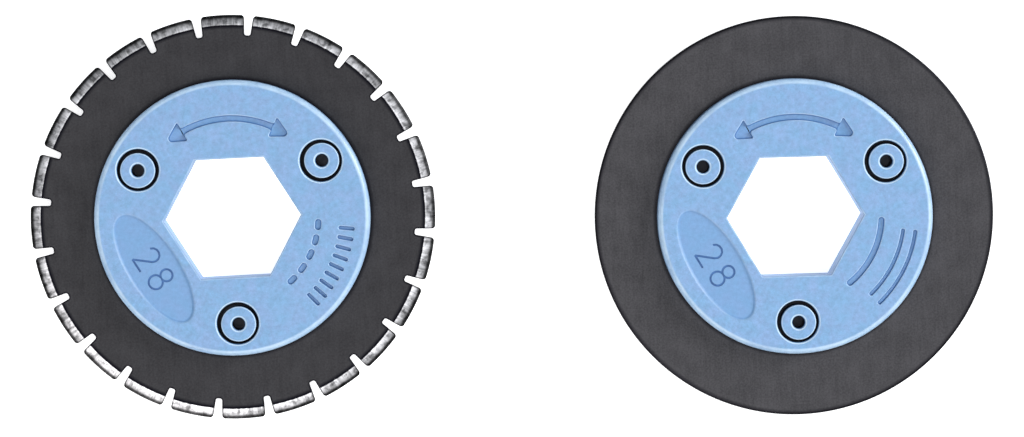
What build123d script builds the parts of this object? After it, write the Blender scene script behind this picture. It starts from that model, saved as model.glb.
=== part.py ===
from build123d import *
from math import cos, radians, sin
import os

# Two interchangeable wheels for a rotary paper trimmer, laid flat side by side.
#
# The left wheel perforates: its steel disc has a ground edge, broken by slots into teeth. The
# right wheel creases: the edge of its disc is rounded. Each disc is held in a moulded hub of two
# halves. The back half has a round spigot that centres the disc and three hollow pegs that go
# through it. The front half drops over the spigot, is welded to it there, and shows the ends of
# the pegs in three clear holes. A hexagonal bore through both halves takes the trimmer's spindle.
#
# Millimetres. +Z is up, along both bores. The wheels lie on their back faces at z = 0, and the
# origin is midway between their outer sides. Angles are in degrees, anticlockwise from the corner
# of the hexagon that points along +X.

# Steel discs
perforating_disc_diameter = 28.3
creasing_disc_diameter = 28.0
disc_thickness = 0.4
disc_bore_clearance = 0.05      # radial, round the spigot
disc_peg_clearance = 0.05       # radial, round each peg

# Ground edge and teeth of the perforating disc
tooth_count = 24
bevel_width = 0.7               # the whole ground band, along the radius
honed_width = 0.15              # its outer part, ground steeper
honed_half_thickness = 0.07     # where the honed part starts
edge_half_thickness = 0.01      # the flat left at the very edge
slot_depth = 1.4
slot_root_width = 0.46
slot_mouth_width = 0.62
tooth_corner_radius = 0.16

# Rounded edge of the creasing disc
crease_edge_radius = 0.18

# Hub halves
hub_diameter = 19.25
flange_thickness = 1.3          # of each half, outside the disc
hub_rim_radius = 0.35           # round on the outer edge of each half
hex_across_flats = 8.3
hex_lead_in = 0.12              # chamfer where the hexagon meets each face
spigot_wall = 0.6               # from the hexagon's corner to the outside of the spigot
spigot_reach = 0.5              # how far the spigot goes into the front half
spigot_clearance = 0.03         # radial, in the front half

# Pegs
peg_count = 3
peg_circle_diameter = 14.72
peg_diameter = 2.44
peg_core_diameter = 0.9
peg_core_floor = 0.8            # plastic left between the core and the back face
peg_below_face = 0.06
peg_edge_radius = 0.1
peg_hole_clearance = 0.25       # radial, the dark ring round each peg
peg_hole_edge_radius = 0.14

# Sunk marks on the front half
mark_depth = 0.12
turn_arrow_radius = 6.95
turn_arrow_half_angle = 27.0
turn_arrow_stroke = 0.42
turn_arrow_head_width = 1.45
turn_arrow_head_angle = 9.0
oval_radius = 6.5               # from the bore to the middle of the oval
oval_length = 8.8
oval_width = 3.6
sample_radius = 6.0             # the line that the wheel leaves on paper
sample_half_angle = 26.0
sample_stroke = 0.4
sample_dash_count = 5
edge_symbol_radius = 8.0        # a piece of the wheel's own edge
edge_symbol_half_angle = 20.0
edge_symbol_stroke = 0.24
edge_symbol_height = 1.1
edge_symbol_tick_count = 9

# Directions round the hub
peg_angle = 30.0
turn_arrow_angle = 90.0
oval_angle = 210.0
sample_angle = -28.0

# How the wheels lie
bore_spacing = 39.3
perforating_turn = 2.8
creasing_turn = 1.4

# Worked out from the sizes above
tooth_radius = perforating_disc_diameter / 2
crease_radius = creasing_disc_diameter / 2
hub_radius = hub_diameter / 2
disc_bottom = flange_thickness
disc_top = disc_bottom + disc_thickness
hub_top = disc_top + flange_thickness
hex_corner_radius = hex_across_flats / 2 / cos(radians(30))
hex_lead_in_at_corner = hex_lead_in / cos(radians(30))
spigot_radius = hex_corner_radius + spigot_wall
spigot_top = disc_top + spigot_reach
peg_radius = peg_diameter / 2
peg_top = hub_top - peg_below_face
slot_pitch = 360 / tooth_count
middle_of_bores = (tooth_radius - crease_radius) / 2


def at(radius, angle):
    """The point that far from the bore, in that direction."""
    return (radius * cos(radians(angle)), radius * sin(radians(angle)))


def column(radius, bottom, top):
    """A round column on the bore's axis, between two heights."""
    return Pos(0, 0, bottom) * Cylinder(radius, top - bottom, align=(Align.CENTER, Align.CENTER, Align.MIN))


def peg_columns(radius, bottom, top):
    """The same column at each of the three pegs."""
    places = PolarLocations(peg_circle_diameter / 2, peg_count, start_angle=peg_angle)
    return [place * column(radius, bottom, top) for place in places.locations]


def circles_at(part, height, radius):
    """The round edges of that radius at that height."""
    level = part.edges().filter_by(GeomType.CIRCLE).filter_by_position(Axis.Z, height - 0.001, height + 0.001)
    return level.filter_by(lambda edge: abs(edge.radius - radius) < 0.001)


def hex_bore():
    """The spindle's hexagon through the whole hub, wider for a short way at both faces."""
    bore = extrude(RegularPolygon(hex_corner_radius, 6), amount=hub_top)
    mouth = RegularPolygon(hex_corner_radius + hex_lead_in_at_corner, 6)
    bore += extrude(mouth, amount=hex_lead_in, taper=45)
    bore += Pos(0, 0, hub_top) * extrude(mouth, amount=hex_lead_in, dir=(0, 0, -1), taper=45)
    return bore


def hub_back():
    """Back half: a flange under the disc, the spigot and the three hollow pegs."""
    part = fillet(circles_at(column(hub_radius, 0, disc_bottom), 0, hub_radius), hub_rim_radius)
    part += column(spigot_radius, 0, spigot_top)
    part += peg_columns(peg_radius, 0, peg_top)
    part = fillet(circles_at(part, peg_top, peg_radius), peg_edge_radius)
    part -= peg_columns(peg_core_diameter / 2, peg_core_floor, hub_top)
    return part - hex_bore()


def band(radius, stroke, start, end):
    """A stroke with round ends that follows a circle round the bore."""
    return SlotArc(CenterArc((0, 0), radius, start, end - start), stroke)


def spread(half_angle, count):
    """Evenly spaced angles, from one end to the other."""
    return [half_angle * (2 * i / (count - 1) - 1) for i in range(count)]


def turn_arrow():
    """A curved arrow with a head at both ends: the wheel turns either way."""
    reach = turn_arrow_half_angle
    marks = [band(turn_arrow_radius, turn_arrow_stroke, turn_arrow_angle - reach, turn_arrow_angle + reach)]
    for side in (-1, 1):
        base = turn_arrow_angle + side * reach
        head = make_face(Polyline(
            at(turn_arrow_radius + turn_arrow_head_width / 2, base),
            at(turn_arrow_radius, base + side * turn_arrow_head_angle),
            at(turn_arrow_radius - turn_arrow_head_width / 2, base),
            close=True,
        ))
        marks.append(head)
    return marks


def perforated_marks():
    """A broken line, and the slots of a perforating edge."""
    step = 2 * sample_half_angle / sample_dash_count
    marks = []
    for i in range(sample_dash_count):
        start = sample_angle - sample_half_angle + (i + 0.2) * step
        marks.append(band(sample_radius, sample_stroke, start, start + 0.6 * step))
    for angle in spread(edge_symbol_half_angle, edge_symbol_tick_count):
        tick = SlotOverall(edge_symbol_height, edge_symbol_stroke)
        marks.append(Rot(0, 0, sample_angle + angle) * Pos(edge_symbol_radius, 0) * tick)
    return marks


def creased_marks():
    """An unbroken line, and the two sides of a plain edge."""
    marks = [band(sample_radius, sample_stroke, sample_angle - sample_half_angle, sample_angle + sample_half_angle)]
    for side in (-1, 1):
        radius = edge_symbol_radius + side * (edge_symbol_height - edge_symbol_stroke) / 2
        start = sample_angle - edge_symbol_half_angle
        marks.append(band(radius, edge_symbol_stroke, start, start + 2 * edge_symbol_half_angle))
    return marks


def hub_front(symbols):
    """Front half: a flange over the disc, a recess for the spigot, peg holes and sunk marks."""
    part = fillet(circles_at(column(hub_radius, disc_top, hub_top), hub_top, hub_radius), hub_rim_radius)
    part -= column(spigot_radius + spigot_clearance, disc_top, spigot_top)
    hole_radius = peg_radius + peg_hole_clearance
    part -= peg_columns(hole_radius, disc_top, hub_top)
    part = fillet(circles_at(part, hub_top, hole_radius), peg_hole_edge_radius)
    oval = Pos(*at(oval_radius, oval_angle)) * Rot(0, 0, oval_angle + 90) * Ellipse(oval_length / 2, oval_width / 2)
    for mark in turn_arrow() + symbols + [oval]:
        part -= Pos(0, 0, hub_top - mark_depth) * extrude(mark, amount=2 * mark_depth)
    return part - hex_bore()


def bored(disc):
    """Opens a disc for the spigot and the three pegs."""
    disc -= column(spigot_radius + disc_bore_clearance, disc_bottom, disc_top)
    return disc - peg_columns(peg_radius + disc_peg_clearance, disc_bottom, disc_top)


def ground_blank():
    """The perforating disc before it is slotted: ground on both sides, honed at the edge."""
    middle = (disc_bottom + disc_top) / 2
    section = Polyline(
        (0, disc_bottom),
        (tooth_radius - bevel_width, disc_bottom),
        (tooth_radius - honed_width, middle - honed_half_thickness),
        (tooth_radius, middle - edge_half_thickness),
        (tooth_radius, middle + edge_half_thickness),
        (tooth_radius - honed_width, middle + honed_half_thickness),
        (tooth_radius - bevel_width, disc_top),
        (0, disc_top),
        close=True,
    )
    return revolve(Plane.XZ * make_face(section), Axis.Z)


def toothed_outline():
    """The perforating disc seen from above: round-ended slots that widen towards the edge."""
    root_centre = tooth_radius - slot_depth + slot_root_width / 2
    beyond = tooth_radius + slot_depth
    slot = Pos(root_centre, 0) * Circle(slot_root_width / 2)
    widening = (slot_mouth_width - slot_root_width) / (tooth_radius - root_centre)
    outer_half_width = slot_root_width / 2 + widening / 2 * (beyond - root_centre)
    slot += make_face(Polyline(
        (root_centre, slot_root_width / 2),
        (beyond, outer_half_width),
        (beyond, -outer_half_width),
        (root_centre, -slot_root_width / 2),
        close=True,
    ))
    outline = Circle(tooth_radius)
    for i in range(tooth_count):
        outline -= Rot(0, 0, (i + 0.5) * slot_pitch) * slot
    corners = outline.vertices().filter_by(lambda v: abs(Vector(v.X, v.Y).length - tooth_radius) < 0.001)
    return fillet(corners, tooth_corner_radius)


def perforating_disc():
    """Steel disc with a ground, toothed edge."""
    teeth = Pos(0, 0, disc_bottom) * extrude(toothed_outline(), amount=disc_thickness)
    return bored(ground_blank() & teeth)


def creasing_disc():
    """Steel disc with an unbroken rounded edge."""
    disc = column(crease_radius, disc_bottom, disc_top)
    edges = circles_at(disc, disc_bottom, crease_radius) + circles_at(disc, disc_top, crease_radius)
    return bored(fillet(edges, crease_edge_radius))


def write(name, part, place):
    """Puts one piece in its place and writes its file."""
    export_step(place * part, os.path.join("parts", name + ".step"))
    print(f"{name}: {len(part.solids())} solid, {part.volume:.2f} mm3")


os.makedirs("parts", exist_ok=True)
left = Location((middle_of_bores - bore_spacing / 2, 0, 0), (0, 0, perforating_turn))
right = Location((middle_of_bores + bore_spacing / 2, 0, 0), (0, 0, creasing_turn))

write("perforating_disc", perforating_disc(), left)
write("perforating_hub_front", hub_front(perforated_marks()), left)
write("perforating_hub_back", hub_back(), left)

write("creasing_disc", creasing_disc(), right)
write("creasing_hub_front", hub_front(creased_marks()), right)
write("creasing_hub_back", hub_back(), right)
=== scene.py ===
# %% [markdown]
# # Two wheels for a rotary paper trimmer
#
# The object is a pair of loose wheels. One perforates paper and one creases it. Each wheel is a
# thin dark steel disc held between the two halves of a blue moulded hub, and the hub has a
# hexagonal hole for the trimmer's spindle.
#
# The frame is the measured model of the wheels. It says where every piece is and how large it is.
# This file gives the same pieces the soft edges, the sunk marks and the finishes that make them
# look real. It starts by loading the frame.

# %% Load the frame
import math

import bmesh
import bpy
from mathutils import Matrix, Vector


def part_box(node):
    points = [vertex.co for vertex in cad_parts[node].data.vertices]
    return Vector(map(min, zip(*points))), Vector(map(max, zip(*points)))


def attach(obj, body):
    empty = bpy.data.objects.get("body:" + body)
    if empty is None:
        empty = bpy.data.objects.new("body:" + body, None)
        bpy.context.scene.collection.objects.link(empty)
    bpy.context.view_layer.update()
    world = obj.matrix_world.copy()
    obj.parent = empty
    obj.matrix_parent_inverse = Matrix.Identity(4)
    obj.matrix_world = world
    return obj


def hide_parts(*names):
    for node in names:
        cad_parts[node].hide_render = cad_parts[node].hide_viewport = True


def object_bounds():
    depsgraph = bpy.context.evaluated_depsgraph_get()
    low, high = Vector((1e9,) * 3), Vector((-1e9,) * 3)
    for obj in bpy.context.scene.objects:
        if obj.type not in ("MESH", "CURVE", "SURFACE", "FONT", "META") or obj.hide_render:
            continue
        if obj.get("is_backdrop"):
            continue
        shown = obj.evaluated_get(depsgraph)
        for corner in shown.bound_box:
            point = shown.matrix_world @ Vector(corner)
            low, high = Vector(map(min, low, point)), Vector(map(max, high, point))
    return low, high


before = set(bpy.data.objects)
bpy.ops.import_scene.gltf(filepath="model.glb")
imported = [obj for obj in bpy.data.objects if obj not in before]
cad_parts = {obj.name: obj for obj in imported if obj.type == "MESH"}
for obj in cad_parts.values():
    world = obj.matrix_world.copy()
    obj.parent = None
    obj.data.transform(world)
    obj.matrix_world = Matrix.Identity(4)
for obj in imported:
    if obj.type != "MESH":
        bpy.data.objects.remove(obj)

cad_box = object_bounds()
print("frame box in mm:", [[round(value * 1000, 2) for value in corner] for corner in cad_box])

# %% [markdown]
# ## The sizes
#
# Blender works in metres, and some of its modelling tools treat anything shorter than a tenth of a
# millimetre as nothing. These wheels have roundings of a few hundredths of a millimetre. So each
# piece is modelled on a bench where one unit is one millimetre, with the bore on the Z axis, and it
# shrinks to its true size when it is put in its place.
#
# The outer sizes are read from the frame. The two discs are not quite the same size, so each has its
# own radius. Only what a box can't tell, such as the hexagon, the pegs and the teeth, is named here.
# BEYOND is how far a cutting tool reaches past what it cuts.

# %% Sizes from the frame, in millimetres
MM = 0.001


def span(node, axis):
    """Lowest and highest place of a frame node along one axis, in millimetres."""
    low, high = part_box(node)
    return low[axis] / MM, high[axis] / MM


def middle(node, axis):
    """The middle of a frame node along one axis, in millimetres."""
    low, high = span(node, axis)
    return (low + high) / 2


def radius_of(node):
    """Half of what a round frame node measures across, in millimetres."""
    low, high = span(node, 0)
    return (high - low) / 2


DISC_BOTTOM, DISC_TOP = span("creasing_disc", 2)
DISC_MIDDLE = middle("creasing_disc", 2)
DISC_RADIUS = radius_of("creasing_disc")
TOOTH_RADIUS = radius_of("perforating_disc")
HUB_RADIUS = radius_of("creasing_hub_front")
HUB_TOP = span("creasing_hub_front", 2)[1]
HUB_BOTTOM, PEG_TOP = span("creasing_hub_back", 2)
print(f"discs {2 * TOOTH_RADIUS:.2f} and {2 * DISC_RADIUS:.2f} mm across; hub {2 * HUB_RADIUS:.2f} across")

# %% Sizes that the boxes don't tell, in millimetres and degrees
HEX_ACROSS_FLATS = 8.3
HEX_CORNER_RADIUS = HEX_ACROSS_FLATS / 2 / math.cos(math.radians(30))
HEX_LEAD_IN = 0.12
HUB_RIM_ROUND = 0.4
SPIGOT_WALL = 0.6
SPIGOT_RISE = 0.5
SPIGOT_RADIUS = HEX_CORNER_RADIUS + SPIGOT_WALL
SPIGOT_TOP = DISC_TOP + SPIGOT_RISE
RECESS_GAP = 0.03
PEG_ANGLES = (30, 150, 270)
PEG_CIRCLE_RADIUS = 7.36
PEG_RADIUS = 1.22
PEG_CORE_RADIUS = 0.45
PEG_CORE_FLOOR = 0.8
PEG_CLEARANCE = 0.25
PEG_HOLE_RADIUS = PEG_RADIUS + PEG_CLEARANCE
RUNNING_GAP = 0.05

TOOTH_COUNT = 24
BAND_WIDTH = 0.70
HONE_WIDTH = 0.16
SLOT_DEPTH = 1.40
BAND_RADIUS = TOOTH_RADIUS - BAND_WIDTH
HONE_RADIUS = TOOTH_RADIUS - HONE_WIDTH
SLOT_ROOT_RADIUS = TOOTH_RADIUS - SLOT_DEPTH
SLOT_ROOT_WIDTH = 0.46
SLOT_MOUTH_WIDTH = 0.62
TOOTH_ROUND = 0.26
SLOT_CORNER_ROUND = 0.15

PERFORATING_PLACE = (middle("perforating_disc", 0), middle("perforating_disc", 1))
CREASING_PLACE = (middle("creasing_disc", 0), middle("creasing_disc", 1))
PERFORATING_TURN = 2.8
CREASING_TURN = 1.4

BEYOND = 1
HUB_CORNERS = 256
DISC_CORNERS = 480
HOLE_CORNERS = 96
print(f"hexagon {HEX_ACROSS_FLATS} mm across flats, {len(PEG_ANGLES)} pegs, {TOOTH_COUNT} teeth")

# %% [markdown]
# ## Bench tools
#
# A few short helpers repeat what a modeller does by hand: pick one piece, go into edit mode, select
# faces or edges by where they are, and apply a modifier. Every selection is made by place or by
# angle, so it still finds the right edges after a size changes.

# %% Pick, select and apply
NEAR = 0.004


def pick(piece):
    """Selects one piece and nothing else."""
    bpy.ops.object.select_all(action="DESELECT")
    piece.select_set(True)
    bpy.context.view_layer.objects.active = piece


def select_parts(piece, kind, wanted):
    """Goes into edit mode with just the edges or faces that pass a test. Tells how many."""
    pick(piece)
    bpy.ops.object.mode_set(mode="EDIT")
    bpy.ops.mesh.select_mode(type=kind)
    bpy.ops.mesh.select_all(action="DESELECT")
    mesh = bmesh.from_edit_mesh(piece.data)
    parts = mesh.edges if kind == "EDGE" else mesh.faces
    chosen = [part for part in parts if wanted(part)]
    for part in chosen:
        part.select_set(True)
    bmesh.update_edit_mesh(piece.data)
    return len(chosen)


def leave_edit():
    """Back to object mode."""
    bpy.ops.object.mode_set(mode="OBJECT")


def soften(piece, wanted, width, steps):
    """Rounds the edges that pass a test."""
    count = select_parts(piece, "EDGE", wanted)
    if count:
        bpy.ops.mesh.bevel(
            offset=width,
            offset_type="OFFSET",
            segments=steps,
            profile=0.5,
            affect="EDGES",
            clamp_overlap=False,
            loop_slide=False,
        )
    leave_edit()
    print(f"{piece.name}: rounded {count} edges by {width} mm")


def combine(piece, tool, operation="DIFFERENCE"):
    """Cuts a tool out of a piece, or joins it on, and throws the tool away."""
    pick(piece)
    bpy.ops.object.modifier_add(type="BOOLEAN")
    cut = piece.modifiers[-1]
    cut.object = tool
    cut.operation = operation
    cut.solver = "EXACT"
    bpy.ops.object.modifier_apply(modifier=cut.name)
    bpy.data.objects.remove(tool)


def column(name, radius, bottom, top, corners, place=(0, 0), turn=0, squash=1):
    """A column standing on the bench. Its first corner points along +X, and turn is in degrees."""
    bpy.ops.object.select_all(action="DESELECT")
    bpy.ops.mesh.primitive_cylinder_add(
        vertices=corners,
        radius=radius,
        depth=top - bottom,
        location=(place[0], place[1], (bottom + top) / 2),
        rotation=(0, 0, math.radians(turn - 90)),
        scale=(squash, 1, 1),
    )
    bpy.ops.object.transform_apply(location=True, rotation=True, scale=True)
    bpy.context.object.name = name
    return bpy.context.object


def drill(piece, radius, bottom, top, corners=HOLE_CORNERS, place=(0, 0)):
    """Cuts an upright hole between two heights. With six corners it is hexagonal."""
    combine(piece, column("drill", radius, bottom, top, corners, place))


def polar(radius, angle):
    """A point on the bench, from its distance and its direction in degrees."""
    return (radius * math.cos(math.radians(angle)), radius * math.sin(math.radians(angle)))


def at_height(part, height):
    """True where every corner of an edge or a face is at that height."""
    return all(abs(vertex.co.z - height) < NEAR for vertex in part.verts)


def at_distance(part, radius, place=(0, 0)):
    """True where every corner is that far from an upright axis."""
    return all(abs(math.hypot(v.co.x - place[0], v.co.y - place[1]) - radius) < NEAR for v in part.verts)


def is_sharp(edge, least=40):
    """True where two faces meet at more than that many degrees."""
    return len(edge.link_faces) == 2 and edge.calc_face_angle(0) > math.radians(least)


def is_upright(edge):
    """True for an edge that stands on the bench."""
    return abs(edge.verts[0].co.z - edge.verts[1].co.z) > 0.1


def finish_shading(piece, angle):
    """Shades smooth where faces meet under that many degrees, and keeps flat faces flat."""
    pick(piece)
    bpy.ops.object.shade_smooth_by_angle(angle=math.radians(angle))
    bpy.ops.object.modifier_add(type="WEIGHTED_NORMAL")
    weighted = piece.modifiers[-1]
    weighted.keep_sharp = True
    weighted.weight = 90
    bpy.ops.object.modifier_apply(modifier=weighted.name)


def put_in_place(piece, place, turn, body, node, material, smooth_angle):
    """Shrinks a bench piece to its true size at its wheel's place, and ties it to the frame."""
    pick(piece)
    piece.scale = (MM, MM, MM)
    piece.rotation_euler = (0, 0, math.radians(turn))
    piece.location = (place[0] * MM, place[1] * MM, 0)
    bpy.ops.object.transform_apply(location=True, rotation=True, scale=True)
    finish_shading(piece, smooth_angle)
    piece.data.materials.clear()
    piece.data.materials.append(material)
    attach(piece, body)
    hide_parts(node)
    low, high = [Vector(corner) for corner in (piece.bound_box[0], piece.bound_box[6])]
    sizes = [round(value / MM, 2) for value in high - low]
    print(f"{piece.name}: {len(piece.data.polygons)} faces, {sizes} mm")


def own_copy(piece, name):
    """A copy with its own mesh."""
    pick(piece)
    bpy.ops.object.duplicate(linked=False)
    bpy.context.object.name = name
    return bpy.context.object


# %% [markdown]
# ## The back half of the hub
#
# The back half is one moulding: a flange, a round spigot that centres the disc, and three hollow
# pegs that go through the disc and show in the front. A lathe-like start suits it. The flange is a
# many-sided cylinder, and the spigot grows from it by an inset and an extrude, as a turned shoulder
# would. One function makes each of the pegs, and they are joined on, because a moulding has no seams.

# %% Flange and spigot
hub_back = column("hub_back", HUB_RADIUS, HUB_BOTTOM, DISC_BOTTOM, HUB_CORNERS)
soften(hub_back, lambda e: at_height(e, HUB_BOTTOM) and at_distance(e, HUB_RADIUS), HUB_RIM_ROUND, 7)
select_parts(hub_back, "FACE", lambda f: at_height(f, DISC_BOTTOM))
bpy.ops.mesh.inset(thickness=HUB_RADIUS - SPIGOT_RADIUS)
bpy.ops.mesh.extrude_region_move(TRANSFORM_OT_translate={"value": (0, 0, SPIGOT_TOP - DISC_BOTTOM)})
leave_edit()
print("flange and spigot:", len(hub_back.data.polygons), "faces")


# %% [markdown]
# A peg is a tube that is closed at its foot. The top face is inset to the size of the core and
# pushed down to leave the blind hole. Both top edges are rounded, because a moulded edge is never
# quite sharp, and those small rounds are what catches the light.

# %% Hollow pegs
PEG_OFFSETS = {30: (0.06, 0.01), 150: (-0.01, -0.04), 270: (0.05, -0.05)}
PEG_FOOT = DISC_BOTTOM - 0.2
PEG_EDGE_ROUND = 0.1
PEG_CORE_ROUND = 0.16


def peg_place(angle):
    """Where a peg stands. Its mould pin is a few hundredths of a millimetre off its circle."""
    on_circle = polar(PEG_CIRCLE_RADIUS, angle)
    return (on_circle[0] + PEG_OFFSETS[angle][0], on_circle[1] + PEG_OFFSETS[angle][1])


def hollow_peg(angle):
    """One peg in its place, with its foot a little inside the flange so that the two join."""
    place = peg_place(angle)
    peg = column("peg", PEG_RADIUS, PEG_FOOT, PEG_TOP, HOLE_CORNERS, place)
    select_parts(peg, "FACE", lambda f: at_height(f, PEG_TOP))
    bpy.ops.mesh.inset(thickness=PEG_RADIUS - PEG_CORE_RADIUS)
    bpy.ops.mesh.extrude_region_move(TRANSFORM_OT_translate={"value": (0, 0, PEG_CORE_FLOOR - PEG_TOP)})
    leave_edit()
    for radius, width in ((PEG_RADIUS, PEG_EDGE_ROUND), (PEG_CORE_RADIUS, PEG_CORE_ROUND)):
        soften(peg, lambda e: at_height(e, PEG_TOP) and at_distance(e, radius, place), width, 4)
    return peg


for peg_angle in PEG_ANGLES:
    drill(hub_back, PEG_CORE_RADIUS, PEG_CORE_FLOOR, DISC_BOTTOM + 0.1, place=peg_place(peg_angle))
    combine(hub_back, hollow_peg(peg_angle), "UNION")


# %% [markdown]
# The bore goes through last, so that it cuts the flange and the spigot in one go. A cylinder with
# six sides is a hexagonal prism. Its edge at the face gets a narrow round, the lead-in that helps the
# wheel onto its spindle.

# %% Hexagonal bore
def hex_bore(piece, face_height):
    """Cuts the spindle's hexagon and rounds its edge at one face."""
    drill(piece, HEX_CORNER_RADIUS, HUB_BOTTOM - BEYOND, HUB_TOP + BEYOND, corners=6)
    reach = HEX_CORNER_RADIUS + NEAR

    def on_mouth(edge):
        near_bore = all(vertex.co.xy.length < reach for vertex in edge.verts)
        return near_bore and is_sharp(edge) and at_height(edge, face_height)

    soften(piece, on_mouth, HEX_LEAD_IN, 3)


hex_bore(hub_back, HUB_BOTTOM)

# %% [markdown]
# ## The front half of the hub
#
# The front half is the face that everyone sees. It is a flange with a recess underneath for the
# spigot, three clear holes for the pegs, an oval tray and some sunk marks. Each of these is cut
# with a tool of the same shape, as the steel of the mould would form it. Then the lips are
# rounded, wide ones round the holes and fine ones along the marks.

# %% Flange with its recess and holes
PEG_HOLE_ROUND = 0.14
hub_front = column("hub_front", HUB_RADIUS, DISC_TOP, HUB_TOP, HUB_CORNERS)
soften(hub_front, lambda e: at_height(e, HUB_TOP) and at_distance(e, HUB_RADIUS), HUB_RIM_ROUND, 7)
drill(hub_front, SPIGOT_RADIUS + RECESS_GAP, DISC_TOP - BEYOND, SPIGOT_TOP, corners=192)
for peg_angle in PEG_ANGLES:
    hole_place = polar(PEG_CIRCLE_RADIUS, peg_angle)
    drill(hub_front, PEG_HOLE_RADIUS, DISC_TOP - BEYOND, HUB_TOP + BEYOND, place=hole_place)
    soften(
        hub_front,
        lambda e: is_sharp(e) and at_height(e, HUB_TOP) and at_distance(e, PEG_HOLE_RADIUS, hole_place),
        PEG_HOLE_ROUND,
        4,
    )
hex_bore(hub_front, HUB_TOP)

# %% [markdown]
# ### The oval tray
#
# The tray is shallow and its wall slopes, as a moulded pocket needs. The tool is an oval column with
# its lower face scaled in. The cut leaves two rings of edges, one at the lip and one at the
# floor, and both are rounded.

# %% Oval tray
TRAY_RADIUS = 6.5
TRAY_ANGLE = 210
TRAY_LENGTH = 8.8
TRAY_WIDTH = 3.6
TRAY_DEPTH = 0.14
TRAY_SLOPE = 0.17
TRAY_ROUND = 0.07
TRAY_FLOOR = HUB_TOP - TRAY_DEPTH


def set_in_tray(tool):
    """Moves a tool from the middle of the bench to the tray, with its X axis along the tray."""
    pick(tool)
    tool.rotation_euler = (0, 0, math.radians(TRAY_ANGLE + 90))
    tool.location = (*polar(TRAY_RADIUS, TRAY_ANGLE), 0)
    bpy.ops.object.transform_apply(location=True, rotation=True, scale=True)
    return tool


tray_tool = column(
    "tray", TRAY_WIDTH / 2, TRAY_FLOOR, HUB_TOP, corners=128, turn=90, squash=TRAY_LENGTH / TRAY_WIDTH
)
select_parts(tray_tool, "FACE", lambda f: at_height(f, TRAY_FLOOR))
shrink = (1 - 2 * TRAY_SLOPE / TRAY_LENGTH, 1 - 2 * TRAY_SLOPE / TRAY_WIDTH, 1)
bpy.ops.transform.resize(value=shrink, center_override=(0, 0, 0))
leave_edit()
select_parts(tray_tool, "FACE", lambda f: at_height(f, HUB_TOP))
bpy.ops.mesh.extrude_region_move(TRANSFORM_OT_translate={"value": (0, 0, BEYOND)})
leave_edit()
print("tray tool is", [round(value, 2) for value in tray_tool.dimensions], "mm")
combine(hub_front, set_in_tray(tray_tool))


def near_tray(edge):
    """True for the edges round the tray."""
    middle_of_tray = Vector(polar(TRAY_RADIUS, TRAY_ANGLE))
    along = Vector(polar(2 / TRAY_LENGTH, TRAY_ANGLE + 90))
    across = Vector(polar(2 / TRAY_WIDTH, TRAY_ANGLE))
    offsets = [vertex.co.xy - middle_of_tray for vertex in edge.verts]
    return all(offset.dot(along) ** 2 + offset.dot(across) ** 2 <= 1.02 for offset in offsets)


for tray_edge_height in (TRAY_FLOOR, HUB_TOP):
    soften(
        hub_front,
        lambda e: is_sharp(e, least=20) and near_tray(e) and at_height(e, tray_edge_height),
        TRAY_ROUND,
        3,
    )

# %% [markdown]
# ### The sunk marks
#
# The marks are plain signs with no words. A curved arrow with two heads says that the wheel turns
# either way. At the lower right, a sample shows the line that the wheel leaves: broken for the
# perforating wheel and unbroken for the creasing wheel. Beside it is a piece of the wheel's own
# edge. A curved stroke starts as a small upright rectangle that is spun round the bore. Its ends are
# rounded as an engraver's cutter would leave them.

# %% Tools for the marks
MARK_DEPTH = 0.20
MARK_FLOOR = HUB_TOP - MARK_DEPTH
ABOVE_HUB = HUB_TOP + 0.3
MARK_FLOOR_ROUND = 0.07
MARK_LIP_ROUND = 0.09
END_ROUND_SHARE = 0.48
SPIN_STEP = 14


def curved_bar(radius, stroke, start, end, bottom=MARK_FLOOR, place=(0, 0)):
    """A square-ended bar that follows a circle between two directions.

    Spin takes more steps for a longer arc: SPIN_STEP is in degrees times millimetres of radius.
    """
    foot = polar(radius, start)
    bpy.ops.object.select_all(action="DESELECT")
    bpy.ops.mesh.primitive_plane_add(
        size=1,
        location=(place[0] + foot[0], place[1] + foot[1], (bottom + ABOVE_HUB) / 2),
        rotation=(math.radians(90), 0, math.radians(start)),
    )
    bar = bpy.context.object
    bar.name = "curved_bar"
    bar.scale = (stroke, ABOVE_HUB - bottom, 1)
    bpy.ops.object.transform_apply(location=True, rotation=True, scale=True)
    bpy.ops.object.mode_set(mode="EDIT")
    bpy.ops.mesh.select_all(action="SELECT")
    steps = max(4, round(abs(end - start) * radius / SPIN_STEP))
    bpy.ops.mesh.spin(steps=steps, angle=math.radians(end - start), center=(*place, 0), axis=(0, 0, -1))
    bpy.ops.mesh.select_all(action="SELECT")
    bpy.ops.mesh.normals_make_consistent(inside=False)
    leave_edit()
    return bar


def straight_bar(start, end, stroke, bottom=MARK_FLOOR):
    """A square-ended bar between two points."""
    run = Vector(end) - Vector(start)
    halfway = (Vector(start) + Vector(end)) / 2
    bpy.ops.object.select_all(action="DESELECT")
    bpy.ops.mesh.primitive_cube_add(
        size=1,
        location=(*halfway, (bottom + ABOVE_HUB) / 2),
        rotation=(0, 0, math.atan2(run.y, run.x)),
        scale=(run.length, stroke, ABOVE_HUB - bottom),
    )
    bpy.ops.object.transform_apply(location=True, rotation=True, scale=True)
    bpy.context.object.name = "straight_bar"
    return bpy.context.object


def round_ended(bar, stroke):
    """Rounds the four upright edges at the ends of a bar, so that its ends are almost half circles."""
    soften(bar, lambda e: is_sharp(e) and is_upright(e), stroke * END_ROUND_SHARE, 5)
    return bar


def gather(tools):
    """Joins tools that don't touch, so that one cut does them all."""
    pick(tools[0])
    for tool in tools:
        tool.select_set(True)
    bpy.ops.object.join()
    return tools[0]


def spread(half_angle, count):
    """Evenly spaced angles, from one end of an arc to the other."""
    return [half_angle * (2 * i / (count - 1) - 1) for i in range(count)]


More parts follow.
